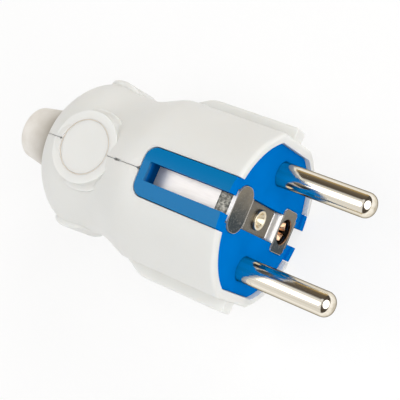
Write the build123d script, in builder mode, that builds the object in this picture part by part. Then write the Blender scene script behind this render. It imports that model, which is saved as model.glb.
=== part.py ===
from build123d import *
import os
from math import sqrt

os.makedirs("parts", exist_ok=True)

# Pins, at the sizes of the round-pin standard
pin_pitch = 19.0
pin_diameter = 4.8
pin_projection = 18.5
pin_tip_radius = 1.9
pin_collar = 0.2
pin_collar_depth = 1.0
pin_neck = 0.2

# Housing: a round barrel, a waist and a grip bulge, lengths counted back from the engagement face
body_radius = 17.2
barrel_length = 20.0
flare_middle = (25.0, 16.2)
waist = (32.5, 14.3)
bulge = (38.5, 15.3)
dome_middle = (43.6, 13.45)
body_length = 48.5
outlet_radius = 7.1
outlet_direction = (-0.45, -0.9)
housing_wall = 1.8
rim_round = 0.7
seam_gap = 0.1

# Flat sides with their guide ribs
flat_distance = 16.1
rib_width = 3.5
rib_distance = 18.4
rib_front = 0.7
rib_length = 20.0
rib_fade_length = 29.3
rib_round = 0.5
rib_tail_round = 6.0

# Thumb pads on the bulge
pad_width = 10.0
pad_front = 34.0
pad_rear = 42.8
pad_rise = 0.3
pad_slope = 0.15
pad_rear_distance = 13.6
pad_round = 0.5
pad_corner = 3.5

# Opening for the carrier, and the groove that its flange sits in
opening_radius = 15.6
opening_flat = 14.3
face_step = 1.0
arm_recess = 0.5
flange_front = 3.0
flange_thickness = 2.0
flange_lip = 0.5
carrier_clearance = 0.1
pin_clearance = 0.05

# Side frames of the carrier, and the windows in them
frame_width = 9.68
frame_rear_width = 9.3
frame_length = 19.25
frame_corner = 2.0
frame_gap = 0.2
frame_floor = 11.2
window_width = 3.64
window_length = 17.66

# Earth bridge across the face
bridge_thickness = 0.8
bridge_width = 5.7
bridge_reach = 13.3
bridge_recess = 0.75
channel_recess = 2.43
channel_half_length = 6.3
bend_radius = 0.85
channel_bend_radius = 0.3
ears_width = 8.8
ears_length = 6.0
ears_round = 2.6
hole_plate_width = 8.72
hole_plate_start = 7.2
hole_plate_end = 12.8
hole_plate_chamfer = 0.6
earth_hole_distance = 10.0
earth_hole_radius = 2.65
relief_size = 0.6
strap_clearance = 0.12

# Side contact springs
spring_thickness = 0.5
spring_width = 5.7
spring_distance = 13.4
spring_rear = 18.5
ramp_start = 3.9
ramp_drop = 1.4
foot_length = 3.8
spring_bend_radius = 0.8
spring_clearance = 0.1
relief_slot_width = 6.4

# Earth sleeve behind the hole
sleeve_bore_radius = 2.45
sleeve_wall = 0.3
sleeve_front = 1.65
sleeve_length = 12.6
sleeve_slit = 0.6
sleeve_slit_length = 8.0
sleeve_clearance = 0.05
sleeve_boss_radius = 4.0
sleeve_boss_length = 6.0

# Terminal pillars of the pins
pin_boss_radius = 4.2
pin_boss_length = 3.0
pillar_radius = 3.2
pillar_length = 8.9
pillar_flat = 2.6
wire_hole_radius = 1.5
wire_hole_depth = 7.0
pillar_screw_back = 5.4
seat_gap = 0.1

# Earth terminal, riveted through the bridge
earth_terminal_drop = 1.0
earth_post_radius = 3.0
earth_post_length = 19.0
rivet_shank_radius = 1.4
rivet_head_radius = 2.05
rivet_head_height = 0.55
rivet_dish_radius = 1.5
rivet_dish_floor = 0.6
rivet_dish_depth = 1.4
rivet_round = 0.25
earth_screw_inset = 3.6

# Screws
screw_radius = 1.4
screw_clearance = 0.05
screw_head_radius = 2.5
screw_head_height = 1.0
screw_head_chamfer = 0.3
screw_slot_width = 0.7
screw_slot_depth = 0.5

# Stops behind the pillars
stop_thickness = 1.6
stop_height = 8.0
stop_inner = 6.4
stop_hole_radius = 1.8

# Round caps that lock the two shells across the seam
cap_distance = 34.0
cap_boss_radius = 7.1
cap_boss_top = 15.0
cap_boss_floor = 10.2
cap_boss_height = 0.9
cap_boss_foot = 1.0
cap_boss_bevel = 0.4
cap_radius = 5.3
cap_thickness = 1.5
cap_recess = 0.05
cap_edge_round = 0.2
cap_gap = 0.12
cap_ring_radius = 5.0
cap_ring_wall = 0.7
cap_ring_length = 1.6
cap_ring_gap = 0.08

# Notches along the seam
pry_front = 24.5
pry_length = 1.6
pry_width = 0.5
pry_floor = 15.0
rear_notch_distance = 39.7
rear_notch_size = 0.5
rear_notch_floor = 14.0
corner_notch_width = 1.2
corner_notch_length = 0.9
corner_notch_depth = 1.0

# Cable bush
bush_projection = 9.0
bush_radius = 5.75
bush_base_radius = 6.8
bush_end_radius = 5.3
bush_end_round = 1.2
bush_bore_radius = 3.4
bush_flange_radius = 7.0
bush_flange_thickness = 2.0
bush_neck = 3.0
bush_tail = 1.5
bush_clearance = 0.1

# Cord clamp
clamp_distance = 39.0
clamp_post_radius = 2.3
clamp_post_pitch = 15.2
clamp_post_top = 1.2
clamp_bar_width = 5.0
clamp_bar_height = 2.2
clamp_arch_radius = 3.5
clamp_arch_wall = 1.4
clamp_screw_length = 6.5
saddle_thickness = 1.4
saddle_top = 1.6
cavity_end = 42.0
cavity_direction = (-0.8, -0.6)

# Plain room for cuts that go right through
past = 5.0

total_length = pin_projection + body_length + bush_projection
face_x = total_length / 2 - pin_projection
crown = sqrt(body_radius**2 - (window_width / 2) ** 2)
axis_z = crown
plug_axis = Axis((face_x, 0, axis_z), (1, 0, 0))
carrier_back = flange_front + flange_thickness
collar_front = face_step + pin_collar_depth
bridge_back = bridge_recess + bridge_thickness
channel_back = channel_recess + bridge_thickness
pillar_front = carrier_back + pin_boss_length + seat_gap
pillar_back = pillar_front + pillar_length
ramp_foot = spring_distance - ramp_drop
foot_front = bridge_back + strap_clearance / 2
foot_end = ramp_foot - foot_length
inner_flat = flat_distance - housing_wall


# Plane across the plug, x ahead of the engagement face: pin to pin, then up
def across(x):
    return Plane((face_x + x, 0, axis_z), x_dir=(0, 1, 0), z_dir=(1, 0, 0))


# Plane along the plug through a point beside its axis: forward, then up
def lengthwise(y, z=0):
    return Plane((face_x, y, axis_z + z), x_dir=(1, 0, 0), z_dir=(0, -1, 0))


# Level plane at z from the plug's axis: forward, then pin to pin
def level(z):
    return Plane((face_x, 0, axis_z + z), x_dir=(1, 0, 0), z_dir=(0, 0, 1))


# Plane that faces out to one side at a point of the plug
def sideways(x, y, z, side):
    return Plane((face_x + x, y, axis_z + z), x_dir=(1, 0, 0), z_dir=(0, side, 0))


# Side of the housing in section, as far inside the outer skin as the inset says
def housing_side(front, inset):
    Line((-front, body_radius - inset), (-barrel_length, body_radius - inset))
    Spline(
        (-barrel_length, body_radius - inset),
        (-flare_middle[0], flare_middle[1] - inset),
        (-waist[0], waist[1] - inset),
        tangents=((-1, 0), (-1, 0)),
    )
    Spline((-waist[0], waist[1] - inset), (-bulge[0], bulge[1] - inset), tangents=((-1, 0), (-1, 0)))


# Round opening with two flats, in the current sketch
def flatted_circle(radius, flat):
    Circle(radius)
    Rectangle(2 * flat, 2 * radius, mode=Mode.INTERSECT)


# Outline of a side frame, widened all round by the margin
def frame_outline(margin, front):
    corner = frame_rear_width / 2 + margin
    with BuildSketch() as outline:
        with BuildLine():
            FilletPolyline(
                (front, frame_width / 2 + margin),
                (-frame_length - margin, corner),
                (-frame_length - margin, -corner),
                (front, -frame_width / 2 - margin),
                radius=frame_corner,
            )
            Line((front, -frame_width / 2 - margin), (front, frame_width / 2 + margin))
        make_face()
    return outline.sketch


# Outline of the earth bridge seen from the front, without its holes
def bridge_outline():
    Rectangle(bridge_width, 2 * bridge_reach)
    with Locations((0, bridge_reach - ears_length / 2 - strap_clearance)):
        RectangleRounded(ears_width, ears_length, ears_round)
    with BuildSketch(mode=Mode.PRIVATE) as hole_plate:
        with Locations((0, -(hole_plate_start + hole_plate_end) / 2)):
            Rectangle(hole_plate_width, hole_plate_end - hole_plate_start)
        chamfer(hole_plate.vertices(), hole_plate_chamfer)
    add(hole_plate.sketch)


# Slotted screw, its head standing on the seat plane and its shank behind it
def slotted_screw(seat, shank_length):
    with BuildPart() as screw:
        with BuildSketch(seat):
            Circle(screw_head_radius)
        extrude(amount=screw_head_height)
        chamfer(screw.edges().sort_by(Axis(seat.origin, seat.z_dir))[-1], screw_head_chamfer)
        with BuildSketch(seat):
            Circle(screw_radius)
        extrude(amount=-shank_length)
        with BuildSketch(seat.offset(screw_head_height)):
            Rectangle(2 * screw_head_radius + past, screw_slot_width)
        extrude(amount=-screw_slot_depth, mode=Mode.SUBTRACT)
    return screw.part


# Write one finished piece
def keep(part, name):
    part.label = name
    export_step(part, "parts/" + name + ".step")


# Thumb pads: long low lenses on the pin sides of the bulge
with BuildPart() as thumb_pads:
    with BuildSketch(level(0)):
        with BuildLine():
            Spline(
                (-pad_front, waist[1]),
                (-bulge[0], bulge[1] + pad_rise),
                tangents=((-1, pad_slope), (-1, 0)),
            )
            Spline(
                (-bulge[0], bulge[1] + pad_rise),
                (-pad_rear, pad_rear_distance),
                tangents=((-1, 0), (-1, -1)),
            )
            Polyline(
                (-pad_rear, pad_rear_distance),
                (-pad_rear, waist[1] - 2 * housing_wall),
                (-pad_front, waist[1] - 2 * housing_wall),
                (-pad_front, waist[1]),
            )
        make_face()
    extrude(amount=pad_width / 2, both=True)
    fillet(thumb_pads.edges().filter_by(GeomType.BSPLINE), pad_round)
    with BuildSketch(sideways(-(pad_front + pad_rear) / 2, 0, 0, 1)):
        RectangleRounded(pad_rear - pad_front, pad_width, pad_corner)
    extrude(amount=body_radius, mode=Mode.INTERSECT)
    mirror(about=Plane.XZ)

# Guide ribs on the flats, each with a tail that sinks into the waist
with BuildPart() as guide_ribs:
    with BuildSketch(level(0)):
        with BuildLine():
            FilletPolyline(
                (-rib_front, waist[1] - housing_wall / 2),
                (-rib_front, rib_distance),
                (-rib_length, rib_distance),
                (-rib_fade_length, waist[1] - housing_wall / 2),
                radius=(0, rib_tail_round),
            )
            Line(
                (-rib_fade_length, waist[1] - housing_wall / 2),
                (-rib_front, waist[1] - housing_wall / 2),
            )
        make_face()
    extrude(amount=rib_width / 2, both=True)
    rib_top = guide_ribs.faces().sort_by(Axis.Y)[-1]
    fillet(rib_top.edges().filter_by(Axis.X) + rib_top.edges().sort_by(Axis.X)[-1:], rib_round)
    mirror(about=Plane.XZ)

# Bosses for the caps, each with a bevelled top and a flared foot
boss_foot_radius = cap_boss_radius + cap_boss_foot
boss_foot_top = cap_boss_top - cap_boss_height - cap_boss_foot
with BuildPart() as cap_bosses:
    with BuildSketch(lengthwise(0)):
        with BuildLine():
            Polyline(
                (-cap_distance, cap_boss_top),
                (-cap_distance + cap_boss_radius - cap_boss_bevel, cap_boss_top),
                (-cap_distance + cap_boss_radius, cap_boss_top - cap_boss_bevel),
                (-cap_distance + cap_boss_radius, boss_foot_top + cap_boss_foot),
            )
            TangentArc(
                (-cap_distance + cap_boss_radius, boss_foot_top + cap_boss_foot),
                (-cap_distance + boss_foot_radius, boss_foot_top),
                tangent=(0, -1),
            )
            Polyline(
                (-cap_distance + boss_foot_radius, boss_foot_top),
                (-cap_distance + boss_foot_radius, 0),
                (-cap_distance, 0),
                (-cap_distance, cap_boss_top),
            )
        make_face()
    revolve(axis=Axis((face_x - cap_distance, 0, axis_z), (0, 0, 1)))
    mirror(about=level(0))

# Outer form of the housing, before it is hollowed and parted
with BuildPart() as envelope:
    with BuildSketch(lengthwise(0)):
        with BuildLine():
            housing_side(0, 0)
            Spline(
                (-bulge[0], bulge[1]),
                (-dome_middle[0], dome_middle[1]),
                (-body_length, outlet_radius),
                tangents=((-1, 0), outlet_direction),
            )
            Polyline((-body_length, outlet_radius), (-body_length, 0), (0, 0), (0, body_radius))
        make_face()
    revolve(axis=plug_axis)
    with BuildSketch(across(0)):
        Rectangle(2 * flat_distance, 2 * body_radius + past)
    extrude(amount=-body_length, mode=Mode.INTERSECT)
    fillet(envelope.faces().sort_by(Axis.X)[-1].edges(), rim_round)
    with BuildSketch(across(0)):
        Rectangle(2 * flat_distance, 2 * crown)
    extrude(amount=-body_length, mode=Mode.INTERSECT)
    add(guide_ribs.part)
    add(thumb_pads.part)
    add(cap_bosses.part)

# Room inside the housing
with BuildPart() as cavity:
    with BuildSketch(lengthwise(0)):
        with BuildLine():
            housing_side(carrier_back, housing_wall)
            Spline(
                (-bulge[0], bulge[1] - housing_wall),
                (-cavity_end, dome_middle[1] - housing_wall),
                tangents=((-1, 0), cavity_direction),
            )
            Polyline(
                (-cavity_end, dome_middle[1] - housing_wall),
                (-cavity_end, 0),
                (-carrier_back, 0),
                (-carrier_back, body_radius - housing_wall),
            )
        make_face()
    revolve(axis=plug_axis)
    with BuildSketch(across(-carrier_back)):
        Rectangle(2 * inner_flat, 2 * body_radius)
    extrude(amount=-body_length, mode=Mode.INTERSECT)

# Whole housing, hollowed, with its seats
with BuildPart() as housing:
    add(envelope.part)
    add(cavity.part, mode=Mode.SUBTRACT)
    for side in (1, -1):
        with BuildSketch(level(side * cap_boss_floor)):
            with Locations((-cap_distance, 0)):
                Circle(cap_boss_radius)
        extrude(amount=side * (cap_boss_top - cap_boss_floor))
        with BuildSketch(level(side * (cap_boss_top - cap_thickness - cap_recess))):
            with Locations((-cap_distance, 0)):
                Circle(cap_radius + cap_gap)
        extrude(amount=side * past, mode=Mode.SUBTRACT)
        slot_floor = cap_boss_top - cap_thickness - cap_recess - cap_ring_length - cap_ring_gap
        with BuildSketch(level(side * slot_floor)):
            with Locations((-cap_distance, 0)):
                Circle(cap_ring_radius + cap_ring_gap)
                Circle(cap_ring_radius - cap_ring_wall - cap_ring_gap, mode=Mode.SUBTRACT)
        extrude(amount=side * past, mode=Mode.SUBTRACT)
        with BuildSketch(level(side * frame_floor / 2)):
            add(frame_outline(frame_gap, past))
        extrude(amount=side * body_radius, mode=Mode.SUBTRACT)
    # stops behind the terminal pillars, with a hole for the wire
    for side in (1, -1):
        with BuildSketch(across(-pillar_back - seat_gap)):
            with Locations((side * (stop_inner + inner_flat + seat_gap) / 2, 0)):
                Rectangle(inner_flat + seat_gap - stop_inner, stop_height)
            with Locations((side * pin_pitch / 2, 0)):
                Circle(stop_hole_radius, mode=Mode.SUBTRACT)
        extrude(amount=-stop_thickness)
    with BuildSketch(across(past)):
        flatted_circle(opening_radius, opening_flat)
    extrude(amount=-past - carrier_back - carrier_clearance, mode=Mode.SUBTRACT)
    with BuildSketch(across(-flange_front + carrier_clearance)):
        flatted_circle(opening_radius + flange_lip, opening_flat + flange_lip)
    extrude(amount=-flange_thickness - 2 * carrier_clearance, mode=Mode.SUBTRACT)
    with BuildSketch(across(-body_length - past)):
        Circle(bush_radius + bush_clearance)
    extrude(amount=past + body_length - cavity_end + past, mode=Mode.SUBTRACT)
    with BuildSketch(across(-body_length + bush_neck - bush_clearance)):
        Circle(bush_flange_radius + bush_clearance)
    extrude(amount=bush_flange_thickness + 2 * bush_clearance, mode=Mode.SUBTRACT)

    # notches along the seam: a pry slot, a dimple behind each cap, and a corner behind each frame
    for side in (1, -1):
        with BuildSketch(level(side * pry_floor)):
            with Locations((-pry_front - pry_length / 2, 0)):
                Rectangle(pry_length, pry_width)
        extrude(amount=side * past, mode=Mode.SUBTRACT)
        with BuildSketch(level(side * rear_notch_floor)):
            with Locations((-rear_notch_distance, 0)):
                Circle(rear_notch_size / 2)
        extrude(amount=side * past, mode=Mode.SUBTRACT)
        with BuildSketch(level(side * (crown - corner_notch_depth))):
            with Locations((-frame_length, 0)):
                Polygon(
                    (0, corner_notch_width / 2),
                    (-corner_notch_length, 0),
                    (0, -corner_notch_width / 2),
                    align=None,
                )
        extrude(amount=side * past, mode=Mode.SUBTRACT)

# Two half shells, parted on the plane between the pins
with BuildPart() as upper_shell:
    add(housing.part)
    split(bisect_by=Plane.XZ.offset(-seam_gap / 2), keep=Keep.BOTTOM)
keep(upper_shell.part, "upper_shell")

# Posts and saddle of the cord grip, trimmed to the inside of the housing
with BuildPart() as cord_posts:
    with BuildSketch(sideways(-clamp_distance, -clamp_post_top, 0, -1)):
        with GridLocations(0, clamp_post_pitch, 1, 2):
            Circle(clamp_post_radius)
    extrude(amount=body_radius)
    with BuildSketch(sideways(-clamp_distance, -saddle_top, 0, -1)):
        Rectangle(saddle_thickness, clamp_post_pitch)
    extrude(amount=body_radius)
    with BuildSketch(across(-clamp_distance - past)):
        Circle(clamp_arch_radius)
    extrude(amount=2 * past, mode=Mode.SUBTRACT)
    with BuildSketch(sideways(-clamp_distance, -clamp_post_top, 0, -1)):
        with GridLocations(0, clamp_post_pitch, 1, 2):
            Circle(screw_radius + screw_clearance)
    extrude(amount=clamp_screw_length, mode=Mode.SUBTRACT)
    add(envelope.part, mode=Mode.INTERSECT)

with BuildPart() as lower_shell:
    add(housing.part)
    split(bisect_by=Plane.XZ.offset(seam_gap / 2), keep=Keep.TOP)
    add(cord_posts.part)
keep(lower_shell.part, "lower_shell")

# Carrier: front plate with its flange, the two side frames, and bosses behind the plate
with BuildPart() as side_frames:
    with BuildSketch(level(frame_floor)):
        add(frame_outline(0, -arm_recess))
    extrude(amount=crown - frame_floor)
    mirror(about=level(0))
    with BuildSketch(across(-frame_length - past)):
        Circle(body_radius)
    extrude(amount=frame_length + past, mode=Mode.INTERSECT)
    with BuildSketch(across(-face_step)):
        Circle(opening_radius)
    extrude(amount=face_step + past, mode=Mode.SUBTRACT)

with BuildPart() as pin_carrier:
    with BuildSketch(across(-face_step)):
        flatted_circle(opening_radius - carrier_clearance, opening_flat - carrier_clearance)
    extrude(amount=face_step - carrier_back)
    with BuildSketch(across(-flange_front)):
        flatted_circle(
            opening_radius + flange_lip - carrier_clearance,
            opening_flat + flange_lip - carrier_clearance,
        )
    extrude(amount=-flange_thickness)
    add(side_frames.part)
    with BuildSketch(across(-carrier_back)):
        with GridLocations(pin_pitch, 0, 2, 1):
            Circle(pin_boss_radius)
    extrude(amount=-pin_boss_length)
    with BuildSketch(across(-carrier_back)):
        with Locations((0, -earth_hole_distance)):
            Circle(sleeve_boss_radius)
    extrude(amount=-sleeve_boss_length)
    # pin holes with a step behind the face, earth hole and rivet hole
    with BuildSketch(across(past)):
        with GridLocations(pin_pitch, 0, 2, 1):
            Circle(pin_diameter / 2 + pin_clearance)
        with Locations((0, -earth_hole_distance)):
            Circle(sleeve_bore_radius + sleeve_wall + sleeve_clearance)
        with Locations((0, -earth_terminal_drop)):
            Circle(rivet_shank_radius + screw_clearance)
    extrude(amount=-past - frame_length, mode=Mode.SUBTRACT)
    with BuildSketch(across(-collar_front + pin_clearance)):
        with GridLocations(pin_pitch, 0, 2, 1):
            Circle(pin_diameter / 2 + pin_collar + pin_clearance)
    extrude(amount=-frame_length, mode=Mode.SUBTRACT)
    # seat of the bridge, with its deeper channel
    with BuildSketch(across(past)):
        bridge_outline()
        offset(amount=strap_clearance)
    extrude(amount=-past - bridge_back - strap_clearance / 2, mode=Mode.SUBTRACT)
    with BuildSketch(across(past)):
        Rectangle(
            bridge_width + 2 * strap_clearance,
            2 * (channel_half_length + bridge_thickness + strap_clearance),
        )
    extrude(amount=-past - channel_back - strap_clearance / 2, mode=Mode.SUBTRACT)
    # windows, and spring slots under the arms
    for side in (1, -1):
        with BuildSketch(level(side * (spring_distance - spring_thickness))):
            with Locations((-window_length, 0)):
                Rectangle(window_length + past, window_width, align=(Align.MIN, Align.CENTER))
        extrude(amount=side * body_radius, mode=Mode.SUBTRACT)
        with BuildSketch(level(side * (spring_distance - spring_thickness - 2 * spring_clearance))):
            with Locations((-spring_rear - spring_clearance, 0)):
                Rectangle(
                    spring_rear + spring_clearance + past,
                    spring_width + 2 * spring_clearance,
                    align=(Align.MIN, Align.CENTER),
                )
        extrude(amount=side * (spring_thickness + 3 * spring_clearance), mode=Mode.SUBTRACT)
    # pocket for the ramp and the foot of the upper spring
    with BuildSketch(level(spring_distance + spring_clearance)):
        with Locations((-ramp_start - spring_thickness, 0)):
            Rectangle(
                ramp_start + spring_thickness + past,
                relief_slot_width,
                align=(Align.MIN, Align.CENTER),
            )
    extrude(amount=-ramp_drop - 2 * spring_thickness, mode=Mode.SUBTRACT)
    with BuildSketch(across(past)):
        with Locations((0, foot_end - spring_clearance)):
            Rectangle(
                spring_width + 2 * spring_clearance,
                foot_length + ramp_drop,
                align=(Align.CENTER, Align.MIN),
            )
    extrude(amount=-past - foot_front - spring_thickness - spring_clearance, mode=Mode.SUBTRACT)
keep(pin_carrier.part, "pin_carrier")

# Earth bridge: a strip folded down into the channel and up again, cut to its outline
with BuildPart() as earth_bridge:
    with BuildSketch(lengthwise(0)):
        with BuildLine():
            FilletPolyline(
                (-bridge_recess, bridge_reach),
                (-bridge_recess, channel_half_length),
                (-channel_recess, channel_half_length),
                (-channel_recess, -channel_half_length),
                (-bridge_recess, -channel_half_length),
                (-bridge_recess, -bridge_reach),
                radius=(bend_radius, channel_bend_radius, channel_bend_radius, bend_radius),
            )
            offset(amount=bridge_thickness, side=Side.RIGHT)
        make_face()
    extrude(amount=body_radius, both=True)
    with BuildSketch(across(past)):
        bridge_outline()
        with Locations((0, -earth_hole_distance)):
            Circle(earth_hole_radius, mode=Mode.SUBTRACT)
        with Locations((0, -earth_terminal_drop)):
            Circle(rivet_shank_radius + screw_clearance, mode=Mode.SUBTRACT)
        with Locations((0, -channel_half_length)):
            with GridLocations(bridge_width, 0, 2, 1):
                Rectangle(relief_size, relief_size, mode=Mode.SUBTRACT)
    extrude(amount=-2 * past, mode=Mode.INTERSECT)
keep(earth_bridge.part, "earth_bridge")

# Side springs: flat in the window, ramped down at the front, with a foot behind the bridge
with BuildPart() as top_spring:
    with BuildSketch(lengthwise(0)):
        with BuildLine():
            FilletPolyline(
                (-spring_rear, spring_distance),
                (-ramp_start, spring_distance),
                (-foot_front, ramp_foot),
                (-foot_front, foot_end),
                radius=spring_bend_radius,
            )
            offset(amount=spring_thickness, side=Side.RIGHT)
        make_face()
    extrude(amount=spring_width / 2, both=True)
keep(top_spring.part, "top_earth_spring")

# Lower spring: the same strip without the foot, since the earth hole takes that place
with BuildPart() as bottom_spring:
    with BuildSketch(level(-spring_distance)):
        with Locations((-foot_front, 0)):
            Rectangle(spring_rear - foot_front, spring_width, align=(Align.MAX, Align.CENTER))
    extrude(amount=spring_thickness)
keep(bottom_spring.part, "bottom_earth_spring")

# Earth sleeve: a rolled tube, slit above and below
with BuildPart() as earth_sleeve:
    with BuildSketch(across(-sleeve_front)):
        with Locations((0, -earth_hole_distance)):
            Circle(sleeve_bore_radius + sleeve_wall)
            Circle(sleeve_bore_radius, mode=Mode.SUBTRACT)
    extrude(amount=-sleeve_length)
    with BuildSketch(across(-sleeve_front + past)):
        with Locations((0, -earth_hole_distance)):
            Rectangle(sleeve_slit, 2 * (sleeve_bore_radius + past))
    extrude(amount=-past - sleeve_slit_length, mode=Mode.SUBTRACT)
keep(earth_sleeve.part, "earth_sleeve")

# Pins, each turned with its terminal pillar and necked behind the face, and their screws
for side, name in ((1, "live"), (-1, "neutral")):
    pin_y = side * pin_pitch / 2
    with BuildPart() as pin:
        with BuildSketch(lengthwise(pin_y)):
            with BuildLine():
                FilletPolyline(
                    (pin_projection, 0),
                    (pin_projection, pin_diameter / 2),
                    (-face_step, pin_diameter / 2),
                    (-collar_front, pin_diameter / 2 - pin_neck),
                    (-collar_front, pin_diameter / 2 + pin_collar),
                    (-pillar_front, pin_diameter / 2 + pin_collar),
                    (-pillar_front, pillar_radius),
                    (-pillar_back, pillar_radius),
                    (-pillar_back, 0),
                    radius=(pin_tip_radius, 0, 0, 0, 0, 0, 0),
                )
                Line((-pillar_back, 0), (pin_projection, 0))
            make_face()
        revolve(axis=Axis((face_x, pin_y, axis_z), (1, 0, 0)))
        with BuildSketch(across(-pillar_back)):
            with Locations((pin_y, 0)):
                Circle(wire_hole_radius)
        extrude(amount=wire_hole_depth, mode=Mode.SUBTRACT)
        with BuildSketch(sideways(-(pillar_front + pillar_back) / 2, pin_y + side * pillar_flat, 0, side)):
            Rectangle(pillar_length, 2 * pillar_radius)
        extrude(amount=pillar_radius, mode=Mode.SUBTRACT)
        with BuildSketch(sideways(-pillar_front - pillar_screw_back, pin_y, 0, side)):
            Circle(screw_radius + screw_clearance)
        extrude(amount=2 * pillar_radius, mode=Mode.SUBTRACT)
    keep(pin.part, name + "_pin")
    seat = sideways(-pillar_front - pillar_screw_back, pin_y + side * pillar_flat, 0, side)
    keep(slotted_screw(seat, pillar_flat), name + "_screw")

# Earth terminal: a turned post, its front end rolled over the bridge as a rivet
post_front = carrier_back + seat_gap
post_back = post_front + earth_post_length
rivet_seat = channel_recess - screw_clearance
rivet_front = rivet_seat - rivet_head_height
with BuildPart() as earth_terminal:
    with BuildSketch(lengthwise(0, -earth_terminal_drop)):
        with BuildLine():
            FilletPolyline(
                (-rivet_front - rivet_dish_depth, 0),
                (-rivet_front - rivet_dish_depth, rivet_dish_floor),
                (-rivet_front, rivet_dish_radius),
                (-rivet_front, rivet_head_radius),
                (-rivet_seat, rivet_head_radius),
                (-rivet_seat, rivet_shank_radius),
                (-post_front, rivet_shank_radius),
                (-post_front, earth_post_radius),
                (-post_back, earth_post_radius),
                (-post_back, 0),
                radius=(0, rivet_round, rivet_round, 0, 0, 0, 0, 0),
            )
            Line((-post_back, 0), (-rivet_front - rivet_dish_depth, 0))
        make_face()
    revolve(axis=Axis((face_x, 0, axis_z - earth_terminal_drop), (1, 0, 0)))
    with BuildSketch(across(-post_back)):
        with Locations((0, -earth_terminal_drop)):
            Circle(wire_hole_radius)
    extrude(amount=wire_hole_depth, mode=Mode.SUBTRACT)
    with BuildSketch(sideways(-post_back + earth_screw_inset, 0, -earth_terminal_drop, 1)):
        Circle(screw_radius + screw_clearance)
    extrude(amount=2 * earth_post_radius, mode=Mode.SUBTRACT)
keep(earth_terminal.part, "earth_terminal")
seat = sideways(-post_back + earth_screw_inset, earth_post_radius, -earth_terminal_drop, 1)
keep(slotted_screw(seat, earth_post_radius), "earth_screw")

# Cord clamp: a bar with an arch over the cord, held down by two screws
clamp_bottom = seat_gap - clamp_post_top
clamp_top = clamp_bottom + clamp_bar_height
with BuildPart() as cord_clamp:
    with BuildSketch(across(-clamp_distance - clamp_bar_width / 2)):
        with Locations(((clamp_bottom + clamp_top) / 2, 0)):
            Rectangle(clamp_bar_height, clamp_post_pitch + 2 * clamp_post_radius)
        Circle(clamp_arch_radius + clamp_arch_wall)
        with Locations((clamp_bottom, 0)):
            Rectangle(body_radius, body_radius, align=(Align.MAX, Align.CENTER), mode=Mode.SUBTRACT)
        Circle(clamp_arch_radius, mode=Mode.SUBTRACT)
    extrude(amount=clamp_bar_width)
    with BuildSketch(sideways(-clamp_distance, clamp_top, 0, 1)):
        with GridLocations(0, clamp_post_pitch, 1, 2):
            Circle(screw_radius + 2 * screw_clearance)
    extrude(amount=-2 * clamp_bar_height, mode=Mode.SUBTRACT)
keep(cord_clamp.part, "cord_clamp")
for side, name in ((1, "top"), (-1, "bottom")):
    seat = sideways(-clamp_distance, clamp_top, side * clamp_post_pitch / 2, 1)
    keep(slotted_screw(seat, clamp_bar_height + clamp_screw_length), name + "_clamp_screw")

# Cable bush, with a flange held between the shells
with BuildPart() as cable_bush:
    with BuildSketch(lengthwise(0)):
        with BuildLine():
            FilletPolyline(
                (-body_length - bush_projection, bush_bore_radius),
                (-body_length - bush_projection, bush_end_radius),
                (-body_length - bush_clearance, bush_base_radius),
                (-body_length - bush_clearance, bush_radius),
                (-body_length + bush_neck, bush_radius),
                (-body_length + bush_neck, bush_flange_radius),
                (-body_length + bush_neck + bush_flange_thickness, bush_flange_radius),
                (-body_length + bush_neck + bush_flange_thickness, bush_radius),
                (-body_length + bush_neck + bush_flange_thickness + bush_tail, bush_radius),
                (-body_length + bush_neck + bush_flange_thickness + bush_tail, bush_bore_radius),
                radius=(bush_end_round, 0, 0, 0, 0, 0, 0, 0),
            )
            Line(
                (-body_length + bush_neck + bush_flange_thickness + bush_tail, bush_bore_radius),
                (-body_length - bush_projection, bush_bore_radius),
            )
        make_face()
    revolve(axis=plug_axis)
keep(cable_bush.part, "cable_bush")

# Round caps: a disc with a ring below that clasps the half posts of both shells
for side, name in ((1, "top_cap"), (-1, "bottom_cap")):
    cap_under = cap_boss_top - cap_recess - cap_thickness
    with BuildPart() as cap:
        with BuildSketch(level(side * cap_under)):
            with Locations((-cap_distance, 0)):
                Circle(cap_radius)
        extrude(amount=side * cap_thickness)
        fillet(cap.edges().sort_by(Axis.Z)[-1 if side > 0 else 0], cap_edge_round)
        with BuildSketch(level(side * cap_under)):
            with Locations((-cap_distance, 0)):
                Circle(cap_ring_radius)
                Circle(cap_ring_radius - cap_ring_wall, mode=Mode.SUBTRACT)
        extrude(amount=-side * cap_ring_length)
    keep(cap.part, name)
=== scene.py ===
import math

import bpy
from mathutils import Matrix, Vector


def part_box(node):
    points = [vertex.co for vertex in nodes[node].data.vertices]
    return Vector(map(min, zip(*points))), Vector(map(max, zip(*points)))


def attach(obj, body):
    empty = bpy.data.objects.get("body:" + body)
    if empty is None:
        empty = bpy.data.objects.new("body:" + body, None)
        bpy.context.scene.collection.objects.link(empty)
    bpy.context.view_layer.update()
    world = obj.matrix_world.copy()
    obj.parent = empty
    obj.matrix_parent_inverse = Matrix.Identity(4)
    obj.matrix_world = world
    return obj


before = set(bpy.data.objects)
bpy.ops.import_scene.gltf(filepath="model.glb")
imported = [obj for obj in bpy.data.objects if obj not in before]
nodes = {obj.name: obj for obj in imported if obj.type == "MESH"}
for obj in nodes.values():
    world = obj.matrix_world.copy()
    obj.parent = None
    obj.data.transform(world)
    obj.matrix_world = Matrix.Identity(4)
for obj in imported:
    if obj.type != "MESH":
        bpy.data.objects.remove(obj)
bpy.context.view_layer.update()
noiseSpan = (0.3, 0.7)  # most values of a noise texture lie in here
print("frame loaded, pieces:", len(nodes))


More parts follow.
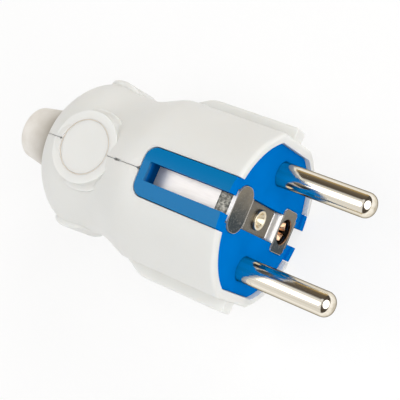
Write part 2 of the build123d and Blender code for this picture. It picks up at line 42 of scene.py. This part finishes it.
# A socket that can be used in plain sums; each sum adds its Math node
class Wire:
    def __init__(self, look, socket):
        self.look = look
        self.socket = socket

    def sum(self, operation, first, second):
        return self.look.sum(operation, first, second)

    def __add__(self, other):
        return self.sum("ADD", self, other)

    def __radd__(self, other):
        return self.sum("ADD", other, self)

    def __sub__(self, other):
        return self.sum("SUBTRACT", self, other)

    def __rsub__(self, other):
        return self.sum("SUBTRACT", other, self)

    def __mul__(self, other):
        return self.sum("MULTIPLY", self, other)

    def __rmul__(self, other):
        return self.sum("MULTIPLY", other, self)

    def __gt__(self, other):
        return self.sum("GREATER_THAN", self, other)

    def __lt__(self, other):
        return self.sum("LESS_THAN", self, other)

    def __or__(self, other):
        return self.sum("MAXIMUM", self, other)


# One node tree, of a material or of the world, with a method that adds any node
class Look:
    def __init__(self, tree):
        self.tree = tree
        tree.nodes.clear()

    def node(self, kind, settings=None, sockets=None, out=0):
        made = self.tree.nodes.new(kind)
        for key, value in (settings or {}).items():
            if key == "stops":
                self.setStops(made.color_ramp, value)
            else:
                setattr(made, key, value)
        for key, value in (sockets or {}).items():
            if isinstance(value, Wire):
                self.tree.links.new(value.socket, made.inputs[key])
            else:
                made.inputs[key].default_value = value
        return Wire(self, made.outputs[out]) if made.outputs else None

    def setStops(self, ramp, stops):
        while len(ramp.elements) < len(stops):
            ramp.elements.new(0.5)
        for element, (place, colour) in zip(ramp.elements, stops):
            element.position = place
            element.color = colour

    def mixColour(self, factor, first, second):
        sockets = {0: factor, 6: first, 7: second}  # the colour pair of the Mix node
        return self.node("ShaderNodeMix", {"data_type": "RGBA"}, sockets, out=2)

    def noise(self, scale, detail, stretch=(1, 1, 1)):
        spot = self.node("ShaderNodeTexCoord", out="Object")
        spot = self.node("ShaderNodeMapping", None, {"Vector": spot, "Scale": stretch})
        sockets = {"Vector": spot, "Scale": scale, "Detail": detail}
        return self.node("ShaderNodeTexNoise", None, sockets)

    def axis(self, name, source="Object"):
        spot = self.node("ShaderNodeTexCoord", out=source)
        return self.node("ShaderNodeSeparateXYZ", None, {"Vector": spot}, out=name)

    def sum(self, operation, first, second=0.0):
        return self.node("ShaderNodeMath", {"operation": operation}, {0: first, 1: second})

    def near(self, value, middle, reach):
        return self.node("ShaderNodeMath", {"operation": "COMPARE"}, {0: value, 1: middle, 2: reach})

    def away(self, first, second):
        return self.sum("SQRT", first * first + second * second)

    def spread(self, factor, span, to=(0, 1)):
        sockets = {"Value": factor, "From Min": span[0], "From Max": span[1]}
        sockets.update({"To Min": to[0], "To Max": to[1]})
        return self.node("ShaderNodeMapRange", None, sockets)

    def bump(self, height, strength, depth):
        sockets = {"Height": height, "Strength": strength, "Distance": depth}
        return self.node("ShaderNodeBump", None, sockets)

    def surface(self, shader):
        self.node("ShaderNodeOutputMaterial", None, {"Surface": shader})

    def principled(self, sockets):
        self.surface(self.node("ShaderNodeBsdfPrincipled", None, sockets))


def startMaterial(name):
    material = bpy.data.materials.new(name)
    material.use_nodes = True
    return material, Look(material.node_tree)


def rgb(red, green, blue):
    return (red, green, blue, 1.0)


def dress(material, *names):
    for name in names:
        piece = nodes[name]
        piece.data.materials.clear()
        piece.data.materials.append(material)


white = rgb(1, 1, 1)

# White housing: smooth moulded plastic with a faint flow cloud and a fine matt grain
whiteShell = {
    "base": rgb(0.785, 0.788, 0.765),
    "cloud": rgb(0.755, 0.756, 0.730),
    "cloudNoise": (60, 4),  # scale, detail
    "cloudSpan": (0.35, 0.7),
    "grainNoise": (2600, 2),
    "grainBump": (0.25, 0.00001),  # strength, depth
    "rough": (0.34, 0.48),
    "shine": 0.4,
    "scatterShare": 0.6,
    "scatterDepth": 0.0012,
    "scatterColour": (0.85, 0.92, 1.0),
}


def makeWhitePlastic(name, base, cloudTone):
    material, look = startMaterial(name)
    cloud = look.spread(look.noise(*whiteShell["cloudNoise"]), whiteShell["cloudSpan"])
    grain = look.noise(*whiteShell["grainNoise"])
    look.principled({
        "Base Color": look.mixColour(cloud, base, cloudTone),
        "Roughness": look.spread(grain, noiseSpan, whiteShell["rough"]),
        "Normal": look.bump(grain, *whiteShell["grainBump"]),
        "Specular IOR Level": whiteShell["shine"],
        "Subsurface Weight": whiteShell["scatterShare"],
        "Subsurface Scale": whiteShell["scatterDepth"],
        "Subsurface Radius": whiteShell["scatterColour"],
    })
    return material


shellWhite = makeWhitePlastic("whitePlastic", whiteShell["base"], whiteShell["cloud"])
dress(shellWhite, "upper_shell", "lower_shell", "top_cap", "bottom_cap", "cord_clamp")
print("white housing dressed")

# Cap grooves: the floor of the shallow groove round each cap, with painted light: a paler, warmer copy
# of the housing plastic
capGroove = {
    "base": rgb(1.0, 0.91, 0.79),
    "mottle": rgb(0.93, 0.82, 0.68),
    "inside": 0.00010,
    "outside": 0.00017,
    "depth": 0.00004,
    "thickness": 0.0003,
    "sides": 96,
}


def makeGroove(cap, outward, material):
    low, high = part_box(cap)
    radius = (high[0] - low[0]) / 2
    inner = radius - capGroove["inside"]
    outer = radius + capGroove["outside"]
    face = high[2] if outward > 0 else low[2]
    bpy.ops.object.select_all(action="DESELECT")
    bpy.ops.mesh.primitive_circle_add(vertices=capGroove["sides"], radius=outer)
    groove = bpy.context.active_object
    groove.name = cap + "_groove"
    bpy.ops.object.mode_set(mode="EDIT")
    bpy.ops.mesh.extrude_region_move()
    bpy.ops.transform.resize(value=(inner / outer, inner / outer, 1))
    bpy.ops.mesh.select_all(action="SELECT")
    bpy.ops.mesh.normals_make_consistent(inside=False)
    bpy.ops.object.mode_set(mode="OBJECT")
    wall = groove.modifiers.new("wall", "SOLIDIFY")
    wall.thickness = capGroove["thickness"]
    wall.offset = 0
    bpy.ops.object.modifier_apply(modifier="wall")
    sunk = capGroove["depth"] + capGroove["thickness"] / 2
    groove.location = ((low[0] + high[0]) / 2, (low[1] + high[1]) / 2, face - outward * sunk)
    bpy.ops.object.transform_apply(location=True, rotation=True, scale=True)
    groove.data.materials.append(material)
    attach(groove, "root")


# Painted light: the groove floor is paler and warmer than the housing
grooveWhite = makeWhitePlastic("grooveWhite", capGroove["base"], capGroove["mottle"])
makeGroove("top_cap", 1, grooveWhite)
makeGroove("bottom_cap", -1, grooveWhite)
print("cap grooves made")

# Blue carrier: satin on the face, polished on the side frames, with painted shade: a darker blue on the
# side frames and a dark blue deep down in their windows
carrierLow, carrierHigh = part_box("pin_carrier")
blueCarrier = {
    "base": rgb(0.0, 0.170, 0.585),
    "pale": rgb(0.0, 0.186, 0.620),
    # darker blue on the side frames: painted shade for their up-facing arms
    "frame": rgb(0.0, 0.165, 0.410),
    # painted shade deep down in the side frames' windows
    "pocket": rgb(0.0, 0.055, 0.200),
    "cloudNoise": (140, 5),
    "cloudSpan": (0.45, 0.75),
    "grainNoise": (2200, 2),
    "grainBump": (0.3, 0.000012),
    "rough": (0.40, 0.56),
    "shine": 0.0,
    "sheen": 0.42,
    "sheenRough": 0.25,
    "middleZ": (carrierLow[2] + carrierHigh[2]) / 2,
    "frameReach": (0.0162, 0.0165),  # from the middle, up or down
    "frameFront": carrierHigh[0] - 0.0001,
    "pocketHalf": 0.00186,
    "pocketFloor": 0.0130,
    "pocketTop": (0.0150, 0.0169),
}


def makeBluePlastic():
    material, look = startMaterial("bluePlastic")
    cloud = look.spread(look.noise(*blueCarrier["cloudNoise"]), blueCarrier["cloudSpan"])
    grain = look.noise(*blueCarrier["grainNoise"])
    reach = look.sum("ABSOLUTE", look.axis("Z") - blueCarrier["middleZ"])
    onFrame = look.spread(reach, blueCarrier["frameReach"])
    onFrame = onFrame * (look.axis("X") < blueCarrier["frameFront"])
    # Painted shade: deep down in the side frames' windows the blue turns dark
    inPocketShade = look.sum("ABSOLUTE", look.axis("Y")) < blueCarrier["pocketHalf"]
    inPocketShade = inPocketShade * (reach > blueCarrier["pocketFloor"])
    inPocketShade = inPocketShade * look.spread(reach, blueCarrier["pocketTop"], (1, 0))
    colour = look.mixColour(cloud, blueCarrier["base"], blueCarrier["pale"])
    # Painted shade: the side frames take the darker blue
    colour = look.mixColour(onFrame, colour, blueCarrier["frame"])
    look.principled({
        "Base Color": look.mixColour(inPocketShade, colour, blueCarrier["pocket"]),
        "Roughness": look.spread(grain, noiseSpan, blueCarrier["rough"]),
        "Normal": look.bump(grain, *blueCarrier["grainBump"]),
        "Coat Weight": onFrame * blueCarrier["sheen"],
        "Coat Roughness": blueCarrier["sheenRough"],
        "Specular IOR Level": blueCarrier["shine"],
    })
    return material


dress(makeBluePlastic(), "pin_carrier")
print("blue carrier dressed")

# Metals: a clean and a worn colour, a tint at grazing angles, and marks drawn out one way
metalWear = {
    "stainNoise": (220, 4),
    "stainSpan": (0.42, 0.72),
    "markDetail": 3,
    "markBump": 0.35,
}


def makeMetal(name, finish):
    material, look = startMaterial(name)
    marks = look.noise(finish["markScale"], metalWear["markDetail"], finish["stretch"])
    stain = look.noise(*metalWear["stainNoise"], finish["stretch"])
    stain = look.spread(stain, metalWear["stainSpan"])
    look.principled({
        "Base Color": look.mixColour(stain, finish["base"], finish["worn"]),
        "Roughness": look.spread(marks, noiseSpan, finish["rough"]),
        "Normal": look.bump(marks, metalWear["markBump"], finish["markDepth"]),
        "Metallic": 1.0,
        "Specular Tint": finish["edge"],
    })
    return material


# Pins: nickelled, with fine streaks along their length, and a dark tint at grazing angles that paints a
# dark reflection along their rims
pinNickel = {
    "base": rgb(0.95, 0.89, 0.78),
    "worn": rgb(0.82, 0.74, 0.59),
    # dark tint at grazing angles: a painted dark reflection
    "edge": rgb(0.14, 0.11, 0.06),
    "rough": (0.06, 0.14),
    "markScale": 500,
    "markDepth": 0.000003,
    "stretch": (0.12, 8, 8),
}
dress(makeMetal("pinNickel", pinNickel), "live_pin", "neutral_pin")

# Earth post: brass, with turning lines across its length
postBrass = {
    "base": rgb(0.92, 0.84, 0.67),
    "worn": rgb(0.74, 0.63, 0.44),
    "edge": rgb(0.70, 0.58, 0.40),
    "rough": (0.24, 0.38),
    "markScale": 1200,
    "markDepth": 0.000004,
    "stretch": (5, 1, 1),
}
dress(makeMetal("postBrass", postBrass), "earth_terminal")

# Terminal and clamp screws: plated steel
screwSteel = {
    "base": rgb(0.60, 0.60, 0.61),
    "worn": rgb(0.42, 0.42, 0.43),
    "edge": rgb(0.80, 0.80, 0.80),
    "rough": (0.25, 0.40),
    "markScale": 1600,
    "markDepth": 0.000006,
    "stretch": (1, 1, 1),
}
screws = [name for name in nodes if name.endswith("_screw")]
dress(makeMetal("screwSteel", screwSteel), *screws)
print("pins, post and screws dressed")

# Earth bridge: flat faces dull, grainy and painted near-black as a dark reflection; sheared edges and
# bends bright, with painted highlights along the fold and the outlines
strapLow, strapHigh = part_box("earth_bridge")
strapMiddle = (strapLow[2] + strapHigh[2]) / 2
bridgeStrap = {
    # near-black: a painted dark reflection on the flat faces
    "skin": rgb(0.022, 0.034, 0.040),
    "warmReflection": rgb(0.210, 0.182, 0.136),
    # painted highlight along the outlines
    "speck": rgb(0.40, 0.39, 0.35),
    "rim": rgb(0.50, 0.46, 0.40),
    "bright": rgb(1.0, 0.975, 0.940),
    "stainNoise": (420, 3),
    "stainShare": 0.4,
    "stainSpan": (0.30, 0.75),
    "warmLitSide": (-0.0036, 0.0036),  # painted light: the flat faces turn lighter and warmer from -Y to +Y
    "warmShare": 0.6,
    "channelWarmth": 0.66,
    "speckSpan": (0.56, 0.80),
    "speckShare": 0.7,
    "grainNoise": (3600, 2),
    "grainBump": (0.4, 0.00001),
    "rough": (0.28, 0.46),
    "metal": (0.35, 1.0),  # bright edges, flat faces
    "plateX": strapHigh[0],
    "channelX": strapHigh[0] - 0.00168,
    "reach": 0.00004,
    "foldZ": strapMiddle + 0.0069,
    "foldHalf": 0.00006,
    "earsZ": strapMiddle + 0.01018,
    "earsHalf": (0.0044, 0.0030),
    "earsRound": 0.0026,
    "plateZ": strapMiddle - 0.0100,
    "plateHalf": (0.00436, 0.0028),
    "plateRound": 0.0,
    "edge": 0.00008,
    # the earth hole's wall: painted shade, with a painted copper glint at the front
    "holeRadius": 0.00265,
    "holeShade": rgb(0.015, 0.010, 0.008),
    "holeCopperGlint": rgb(0.75, 0.45, 0.27),
    "lipDepth": 0.00028,
}


# Distance outside a rounded rectangle in the strap's plane, negative inside
def roundedBox(look, middleZ, half, corner):
    outY = look.sum("ABSOLUTE", look.axis("Y")) - (half[0] - corner)
    outZ = look.sum("ABSOLUTE", look.axis("Z") - middleZ) - (half[1] - corner)
    corners = look.away(outY | 0.0, outZ | 0.0)
    return corners + look.sum("MINIMUM", outY | outZ, 0.0) - corner


# Flat faces: random stains and light specks over a painted dark reflection, painted lighter and warmer
# towards +Y and on the channel
def strapStainsAndReflection(look, grain, channel):
    stain = look.noise(*bridgeStrap["stainNoise"]) * bridgeStrap["stainShare"]
    stain = stain + look.spread(look.axis("Y"), bridgeStrap["warmLitSide"], (0, bridgeStrap["warmShare"]))
    stain = look.spread(stain | channel * bridgeStrap["channelWarmth"], bridgeStrap["stainSpan"])
    speck = look.spread(grain, bridgeStrap["speckSpan"], (0, bridgeStrap["speckShare"]))
    skin = look.mixColour(stain, bridgeStrap["skin"], bridgeStrap["warmReflection"])
    return look.mixColour(speck, skin, bridgeStrap["speck"])


# Painted highlights: thin light lines along the outlines of the ears and of the holed plate
def strapRimHighlights(look):
    ears = roundedBox(look, bridgeStrap["earsZ"], bridgeStrap["earsHalf"], bridgeStrap["earsRound"])
    plate = roundedBox(look, bridgeStrap["plateZ"], bridgeStrap["plateHalf"], bridgeStrap["plateRound"])
    return look.near(ears, 0.0, bridgeStrap["edge"]) | look.near(plate, 0.0, bridgeStrap["edge"])


def makeStrap():
    material, look = startMaterial("bridgeStrap")
    grain = look.noise(*bridgeStrap["grainNoise"])
    along = look.axis("X")
    plate = look.near(along, bridgeStrap["plateX"], bridgeStrap["reach"])
    channel = look.near(along, bridgeStrap["channelX"], bridgeStrap["reach"])
    # Painted highlight: a thin bright line across the flat faces where the strap folds
    foldHighlight = look.near(look.axis("Z"), bridgeStrap["foldZ"], bridgeStrap["foldHalf"])
    flat = (plate | channel) * (1 - foldHighlight)
    # Painted shade and glint in the earth hole: its wall black, with a copper glint along its front lip
    fromHole = look.away(look.axis("Y"), look.axis("Z") - bridgeStrap["plateZ"])
    holeWall = (fromHole < bridgeStrap["holeRadius"] + bridgeStrap["edge"]) * (1 - plate)
    holeGlintLip = along > bridgeStrap["plateX"] - bridgeStrap["lipDepth"]
    holeShadeAndGlint = look.mixColour(holeGlintLip, bridgeStrap["holeShade"], bridgeStrap["holeCopperGlint"])
    colour = look.mixColour(flat, bridgeStrap["bright"], strapStainsAndReflection(look, grain, channel))
    colour = look.mixColour(strapRimHighlights(look), colour, bridgeStrap["rim"])
    look.principled({
        "Base Color": look.mixColour(holeWall, colour, holeShadeAndGlint),
        "Roughness": look.spread(grain, noiseSpan, bridgeStrap["rough"]),
        "Normal": look.bump(grain, *bridgeStrap["grainBump"]),
        "Metallic": look.spread(flat, (0, 1), bridgeStrap["metal"]),
    })
    return material


dress(makeStrap(), "earth_bridge")
print("earth bridge dressed")

# Earth sleeve: copper, with painted shade: black over its front 3 mm, turning to copper 4 mm in
sleeveLow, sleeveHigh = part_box("earth_sleeve")
sleeveCopper = {
    "clean": rgb(0.80, 0.46, 0.28),
    "worn": rgb(0.50, 0.24, 0.12),
    "mouthShade": rgb(0.010, 0.008, 0.007),
    "stainNoise": (700, 4),
    "stainSpan": (0.42, 0.72),
    "grainNoise": (1500, 3),
    "grainBump": (0.35, 0.000006),
    "rough": (0.24, 0.40),
    "shine": 0.0,
    "mouth": (sleeveHigh[0] - 0.0040, sleeveHigh[0] - 0.0030),
}


def makeCopper():
    material, look = startMaterial("sleeveCopper")
    stain = look.spread(look.noise(*sleeveCopper["stainNoise"]), sleeveCopper["stainSpan"])
    grain = look.noise(*sleeveCopper["grainNoise"])
    # Painted shade: black towards the sleeve's mouth
    mouth = look.spread(look.axis("X"), sleeveCopper["mouth"])
    copper = look.mixColour(stain, sleeveCopper["clean"], sleeveCopper["worn"])
    look.principled({
        "Base Color": look.mixColour(mouth, copper, sleeveCopper["mouthShade"]),
        "Roughness": look.spread(grain, noiseSpan, sleeveCopper["rough"]),
        "Normal": look.bump(grain, *sleeveCopper["grainBump"]),
        "Metallic": 1 - mouth,
        "Specular IOR Level": sleeveCopper["shine"],
    })
    return material


dress(makeCopper(), "earth_sleeve")

# Contact lips: two sprung copper leaves on the lower wall of the sleeve, either side of its slit
contactLips = {
    "length": 0.0028,
    "width": 0.0020,
    "rise": 0.0010,
    "thickness": 0.00025,
    "grid": (12, 8),
    "crown": 0.00028,  # what is lifted lies this near the middle
    "smoothing": 1,
    "middleX": sleeveHigh[0] - 0.0016,
    "middleZ": (sleeveLow[2] + sleeveHigh[2]) / 2,
    "tilt": 28.0,
    "wallReach": 0.00235,
}
contactCopper = {
    "base": rgb(0.98, 0.68, 0.47),
    "worn": rgb(0.82, 0.48, 0.28),
    "edge": rgb(0.70, 0.40, 0.25),
    "rough": (0.22, 0.36),
    "markScale": 1500,
    "markDepth": 0.000004,
    "stretch": (3, 1, 1),
}


def makeLip(side, material):
    across, down = contactLips["grid"]
    bpy.ops.object.select_all(action="DESELECT")
    bpy.ops.mesh.primitive_grid_add(x_subdivisions=across, y_subdivisions=down, size=1)
    lip = bpy.context.active_object
    lip.name = "contact_lip_" + ("left" if side < 0 else "right")
    bpy.ops.object.mode_set(mode="EDIT")
    bpy.ops.transform.resize(value=(contactLips["length"], contactLips["width"], 1))
    bpy.ops.mesh.select_all(action="DESELECT")
    bpy.ops.object.mode_set(mode="OBJECT")
    for vertex in lip.data.vertices:
        vertex.select = vertex.co.length < contactLips["crown"]
    bpy.ops.object.mode_set(mode="EDIT")
    bpy.ops.transform.translate(
        value=(0, 0, contactLips["rise"]),
        use_proportional_edit=True,
        proportional_edit_falloff="SMOOTH",
        proportional_size=contactLips["length"] / 2,
    )
    bpy.ops.object.mode_set(mode="OBJECT")
    wall = lip.modifiers.new("wall", "SOLIDIFY")
    wall.thickness = contactLips["thickness"]
    smooth = lip.modifiers.new("smooth", "SUBSURF")
    smooth.levels = contactLips["smoothing"]
    smooth.render_levels = contactLips["smoothing"]
    bpy.ops.object.modifier_apply(modifier="wall")
    bpy.ops.object.modifier_apply(modifier="smooth")
    bpy.ops.object.shade_smooth()
    tilt = math.radians(contactLips["tilt"]) * side
    overY = math.sin(tilt) * contactLips["wallReach"]
    downZ = math.cos(tilt) * contactLips["wallReach"]
    lip.location = (contactLips["middleX"], overY, contactLips["middleZ"] - downZ)
    lip.rotation_euler = (tilt, 0, 0)
    bpy.ops.object.transform_apply(location=True, rotation=True, scale=True)
    lip.data.materials.append(material)
    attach(lip, "root")


lipMetal = makeMetal("contactCopper", contactCopper)
for side in (-1, 1):
    makeLip(side, lipMetal)
print("contact lips made")

# Side springs: bright flat strip, with a coarse pitted patch on the ramp at the front
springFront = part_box("top_earth_spring")[1][0]
sideSpring = {
    "base": rgb(1.0, 0.950, 0.900),
    "worn": rgb(0.97, 0.915, 0.865),
    "pit": rgb(0.10, 0.10, 0.09),
    "patch": rgb(0.36, 0.35, 0.31),
    "streakNoise": (1400, 3, (0.3, 3, 3)),  # scale, detail, stretch
    "streakSpan": (0.4, 0.7),
    "pitNoise": (1900, 4),
    "pitSpan": (0.40, 0.62),
    "pitBump": (0.2, 0.000004),
    "rough": (0.30, 0.42),
    "metal": (0.6, 1.0),  # strip, ramp
    "rampX": springFront - 0.00244,
}


def makeSpring():
    material, look = startMaterial("sideSpring")
    streak = look.noise(*sideSpring["streakNoise"])
    pits = look.noise(*sideSpring["pitNoise"])
    onRamp = look.axis("X") > sideSpring["rampX"]
    worn = look.spread(streak, sideSpring["streakSpan"])
    strip = look.mixColour(worn, sideSpring["base"], sideSpring["worn"])
    raised = look.spread(pits, sideSpring["pitSpan"])
    patch = look.mixColour(raised, sideSpring["pit"], sideSpring["patch"])
    look.principled({
        "Base Color": look.mixColour(onRamp, strip, patch),
        "Roughness": look.spread(streak, noiseSpan, sideSpring["rough"]),
        "Normal": look.bump(pits, *sideSpring["pitBump"]),
        "Metallic": look.spread(onRamp, (0, 1), sideSpring["metal"]),
    })
    return material


dress(makeSpring(), "top_earth_spring", "bottom_earth_spring")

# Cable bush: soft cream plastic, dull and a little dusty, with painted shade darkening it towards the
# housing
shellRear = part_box("upper_shell")[0][0]
creamBush = {
    "base": rgb(0.86, 0.83, 0.78),
    "mottle": rgb(0.77, 0.73, 0.67),
    "foot": rgb(0.15, 0.11, 0.06),
    "cloudNoise": (320, 5),
    "cloudSpan": (0.4, 0.75),
    "grainNoise": (2400, 2),
    "grainBump": (0.4, 0.00002),
    "rough": (0.55, 0.72),
    "footX": (shellRear - 0.0075, shellRear + 0.0008),
}


def makeCream():
    material, look = startMaterial("creamBush")
    cloud = look.spread(look.noise(*creamBush["cloudNoise"]), creamBush["cloudSpan"])
    grain = look.noise(*creamBush["grainNoise"])
    # Painted shade: the bush darkens towards the housing
    foot = look.spread(look.axis("X"), creamBush["footX"])
    cream = look.mixColour(cloud, creamBush["base"], creamBush["mottle"])
    look.principled({
        "Base Color": look.mixColour(foot * foot, cream, creamBush["foot"]),
        "Roughness": look.spread(grain, noiseSpan, creamBush["rough"]),
        "Normal": look.bump(grain, *creamBush["grainBump"]),
    })
    return material


dress(makeCream(), "cable_bush")
print("materials on", len(nodes), "pieces")

# Floor: pale, and whitened to the camera and in the metal, more so further out
floorSet = {
    "size": 3.0,
    "colour": rgb(0.94, 0.94, 0.935),
    "whiten": (0.75, 1.0),
    "fade": (0.25, 0.90),
}


def makeFloor():
    bpy.ops.object.select_all(action="DESELECT")
    bpy.ops.mesh.primitive_plane_add(size=floorSet["size"], location=(0, 0, 0))
    floor = bpy.context.active_object
    floor.name = "floor"
    material, look = startMaterial("floorWhite")
    seen = look.node("ShaderNodeLightPath", out="Is Camera Ray")
    seen = seen | look.node("ShaderNodeLightPath", out="Is Glossy Ray")
    paint = look.node("ShaderNodeBsdfDiffuse", None, {"Color": floorSet["colour"]})
    glow = look.node("ShaderNodeEmission", None, {"Color": white, "Strength": 1.0})
    fromMiddle = look.away(look.axis("X"), look.axis("Y"))
    whiten = look.spread(fromMiddle, floorSet["fade"], floorSet["whiten"])
    look.surface(look.node("ShaderNodeMixShader", None, {0: seen * whiten, 1: paint, 2: glow}))
    floor.data.materials.append(material)


makeFloor()

# Studio: a pale room, dark ahead of the pins and above a warm horizon on the +Y side, with four lamps
darkFlag = rgb(0.10, 0.085, 0.07)
studio = {
    "room": 0.79,
    "sideBand": [
        (0.0, rgb(0.52, 0.38, 0.17)),
        (0.20, rgb(0.50, 0.36, 0.16)),
        (0.28, rgb(0.22, 0.18, 0.13)),
        (0.80, darkFlag),
        (0.90, white),
    ],
    "sideSpan": (0.22, 0.36),
    "aheadSpan": (0.02, 0.12),
    "lamps": {
        "softbox": {"power": 0.85, "size": 0.57, "place": (-0.34, -0.17, 0.65)},
        "front": {"power": 4.4, "size": 0.98, "place": (0.53, 0.02, 0.46)},
        "near": {"power": 0.6, "size": 0.60, "place": (0.10, -0.70, 0.40)},
        "side": {"power": 1.95, "size": 0.4, "place": (0.16, 0.70, 0.45)},
    },
    "fills": ("near", "side"),  # not mirrored in the metal
    "target": (0.0, 0.0, 0.015),
}


def makeWorld():
    world = bpy.data.worlds.new("studio")
    bpy.context.scene.world = world
    world.use_nodes = True
    look = Look(world.node_tree)
    ahead = look.spread(look.axis("X", "Generated"), studio["aheadSpan"])
    toSide = look.spread(look.axis("Y", "Generated"), studio["sideSpan"])
    height = look.axis("Z", "Generated")
    band = look.node("ShaderNodeValToRGB", {"stops": studio["sideBand"]}, {"Fac": height})
    room = look.mixColour(toSide, white, band)
    room = look.mixColour(ahead, room, darkFlag)
    seen = look.node("ShaderNodeLightPath", out="Is Camera Ray")
    tone = look.mixColour(seen, room, white)
    level = look.spread(seen, (0, 1), (studio["room"], 1.0))
    back = look.node("ShaderNodeBackground", None, {"Color": tone, "Strength": level})
    look.node("ShaderNodeOutputWorld", None, {"Surface": back})


def aim(thing, target):
    toward = Vector(target) - thing.location
    thing.rotation_euler = toward.to_track_quat("-Z", "Y").to_euler()


def makeLamp(name, settings):
    light = bpy.data.lights.new(name, "AREA")
    light.energy = settings["power"]
    light.shape = "DISK"
    light.size = settings["size"]
    lamp = bpy.data.objects.new(name, light)
    bpy.context.collection.objects.link(lamp)
    lamp.location = settings["place"]
    lamp.visible_glossy = name not in studio["fills"]
    aim(lamp, studio["target"])


makeWorld()
for name, settings in studio["lamps"].items():
    makeLamp(name, settings)

# Camera, as the photograph was taken
cameraSet = {
    "place": (0.11081, -0.00815, 0.20360),
    "turn": (14.2938, 26.3677, 25.7885),
    "lens": 101.29,
    "sensor": 36,
    "clipStart": 0.005,
}


def makeCamera():
    eye = bpy.data.cameras.new("camera")
    eye.lens = cameraSet["lens"]
    eye.sensor_width = cameraSet["sensor"]
    eye.clip_start = cameraSet["clipStart"]
    camera = bpy.data.objects.new("camera", eye)
    bpy.context.collection.objects.link(camera)
    camera.location = cameraSet["place"]
    camera.rotation_euler = [math.radians(turn) for turn in cameraSet["turn"]]
    bpy.context.scene.camera = camera


makeCamera()
bpy.context.scene.view_settings.view_transform = "Standard"
print("stage, lamps and camera ready")
